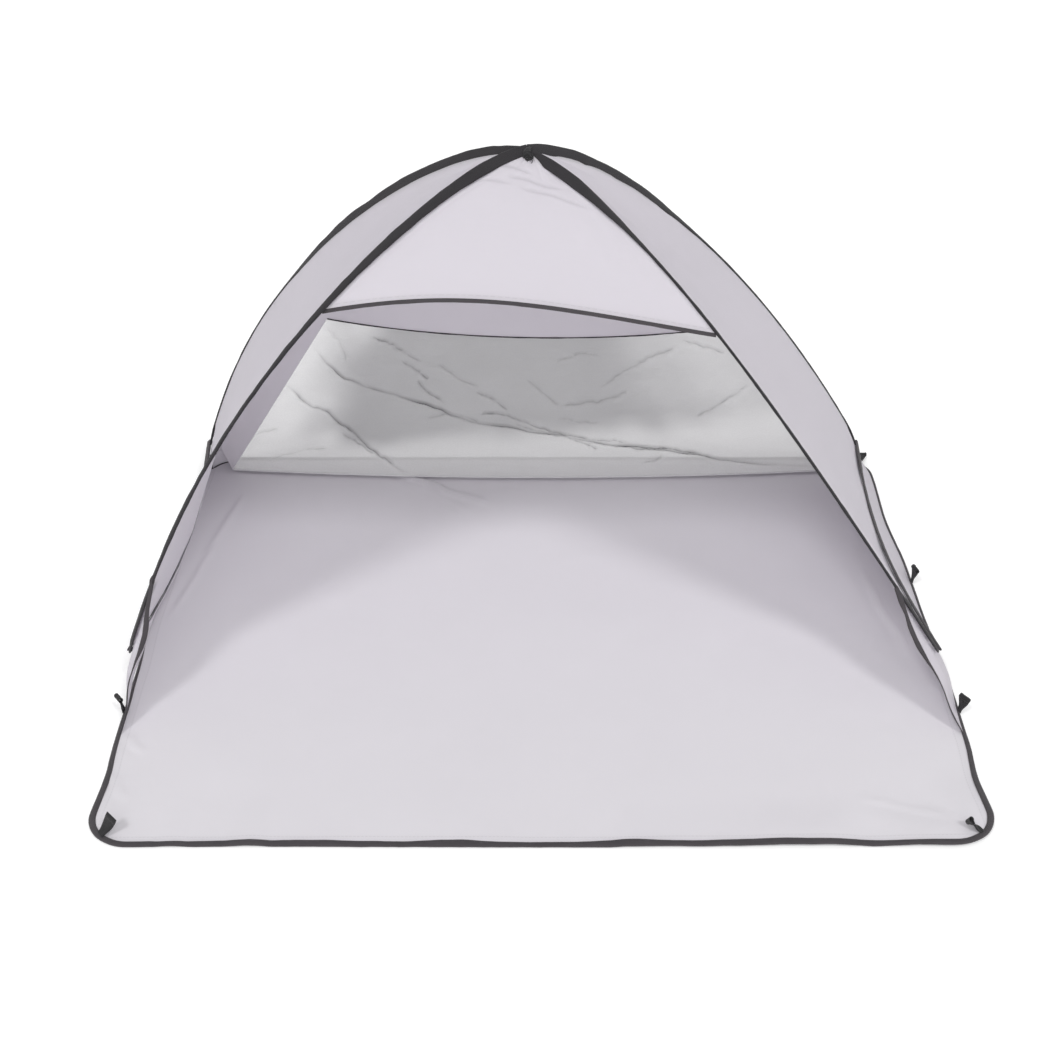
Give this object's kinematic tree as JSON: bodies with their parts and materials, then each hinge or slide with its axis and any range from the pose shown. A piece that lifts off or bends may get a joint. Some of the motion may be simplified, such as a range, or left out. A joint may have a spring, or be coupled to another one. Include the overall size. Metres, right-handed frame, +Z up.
{
  "type": "pop-up beach shelter",
  "caption": "Open-fronted pop-up shelter with crossed spring-wire arches, thin cloth skin, mesh rear window, porch floor and peg loops.",
  "frame": {"origin": "on the ground under the middle of the base", "axes": "+Z up, open front towards -Y, +X to the right seen from the front"},
  "size_m": [2.8426, 2.2202, 1.6631],
  "materials": {
    "cloth": "thin coated polyester, plain weave",
    "mesh": "fine insect mesh",
    "sleeve_tape": "charcoal polyester sleeve tape",
    "binding_tape": "charcoal grosgrain binding",
    "webbing": "charcoal ribbed webbing",
    "spring_wire": "galvanised spring steel"
  },
  "bodies": {
    "floor_centre": {"floor_centre_seam": "cloth", "back_panel": "cloth", "mesh_window": "mesh", "mesh_top_binding": "binding_tape", "mesh_bottom_binding": "binding_tape", "rear_skirt": "cloth", "brow_panel": "cloth", "brow_binding": "binding_tape"},
    "base_left": {"floor_left": "cloth", "base_wire_left": "spring_wire", "base_binding_left": "binding_tape", "side_skirt_left": "cloth", "skirt_binding_left": "binding_tape"},
    "base_right": {"floor_right": "cloth", "base_wire_right": "spring_wire", "base_binding_right": "binding_tape", "base_ferrule": "spring_wire", "side_skirt_right": "cloth", "skirt_binding_right": "binding_tape"},
    "side_left": {"canopy_wire_left": "spring_wire", "front_sleeve_left": "sleeve_tape", "rear_sleeve_left": "sleeve_tape", "edge_sleeve_left": "sleeve_tape", "side_panel_left": "cloth", "apex_wrap": "webbing"},
    "side_right": {"canopy_wire_right": "spring_wire", "front_sleeve_right": "sleeve_tape", "rear_sleeve_right": "sleeve_tape", "edge_sleeve_right": "sleeve_tape", "side_panel_right": "cloth", "canopy_ferrule": "spring_wire"},
    "loop_front_left": {"loop_front_left": "webbing"},
    "loop_front_right": {"loop_front_right": "webbing"},
    "loop_side_left": {"loop_side_left": "webbing"},
    "loop_side_right": {"loop_side_right": "webbing"},
    "loop_mid_left": {"loop_mid_left": "webbing"},
    "loop_mid_right": {"loop_mid_right": "webbing"},
    "loop_rear_left": {"loop_rear_left": "webbing"},
    "loop_rear_right": {"loop_rear_right": "webbing"}
  },
  "joints": [
    {"name": "fold_left", "type": "hinge", "parent": "floor_centre", "child": "base_left", "pos_m": [0, 0, 0.03], "axis": [0, 1, 0], "range_deg": [0, 86], "stiffness_Nm_per_rad": 0.5, "deforming": ["back_panel", "mesh_window", "mesh_top_binding", "mesh_bottom_binding", "rear_skirt", "brow_panel", "brow_binding"]},
    {"name": "fold_right", "type": "hinge", "parent": "floor_centre", "child": "base_right", "pos_m": [0, 0, 0.03], "axis": [0, -1, 0], "range_deg": [0, 86], "stiffness_Nm_per_rad": 0.5},
    {"name": "side_fold_left", "type": "hinge", "parent": "base_left", "child": "side_left", "pos_m": [-1.4, 0, 0.013], "axis": [0, -1, 0], "range_deg": [0, 125.5], "stiffness_Nm_per_rad": 0.5, "deforming": ["side_skirt_left", "skirt_binding_left"]},
    {"name": "side_fold_right", "type": "hinge", "parent": "base_right", "child": "side_right", "pos_m": [1.4, 0, 0.013], "axis": [0, 1, 0], "range_deg": [0, 125.5], "stiffness_Nm_per_rad": 0.5, "deforming": ["side_skirt_right", "skirt_binding_right"]},
    {"name": "flip_front_left", "type": "hinge", "parent": "base_left", "child": "loop_front_left", "pos_m": [-1.34909, -1.04909, 0.0156], "axis": [0.7071, -0.7071, 0], "range_deg": [0, 130]},
    {"name": "flip_side_left", "type": "hinge", "parent": "base_left", "child": "loop_side_left", "pos_m": [-1.402, -0.5, 0.0106], "axis": [0, 1, 0], "range_deg": [-80, 20]},
    {"name": "flip_mid_left", "type": "hinge", "parent": "base_left", "child": "loop_mid_left", "pos_m": [-1.402, 0.22, 0.0106], "axis": [0, 1, 0], "range_deg": [-85, 15]},
    {"name": "flip_rear_left", "type": "hinge", "parent": "base_left", "child": "loop_rear_left", "pos_m": [-1.36041, 1.06041, 0.0106], "axis": [0.7071, 0.7071, 0], "range_deg": [0, 100]},
    {"name": "flip_front_right", "type": "hinge", "parent": "base_right", "child": "loop_front_right", "pos_m": [1.34909, -1.04909, 0.0156], "axis": [0.7071, 0.7071, 0], "range_deg": [0, 130]},
    {"name": "flip_side_right", "type": "hinge", "parent": "base_right", "child": "loop_side_right", "pos_m": [1.402, -0.5, 0.0106], "axis": [0, -1, 0], "range_deg": [-80, 20]},
    {"name": "flip_mid_right", "type": "hinge", "parent": "base_right", "child": "loop_mid_right", "pos_m": [1.402, 0.22, 0.0106], "axis": [0, -1, 0], "range_deg": [-85, 15]},
    {"name": "flip_rear_right", "type": "hinge", "parent": "base_right", "child": "loop_rear_right", "pos_m": [1.36041, 1.06041, 0.0106], "axis": [0.7071, -0.7071, 0], "range_deg": [0, 100]}
  ],
  "couplings": [
    {"joint": "fold_right", "follows": "fold_left", "ratio": 1},
    {"joint": "side_fold_left", "follows": "fold_left", "ratio": 1.4535},
    {"joint": "side_fold_right", "follows": "fold_left", "ratio": 1.4535}
  ]
}
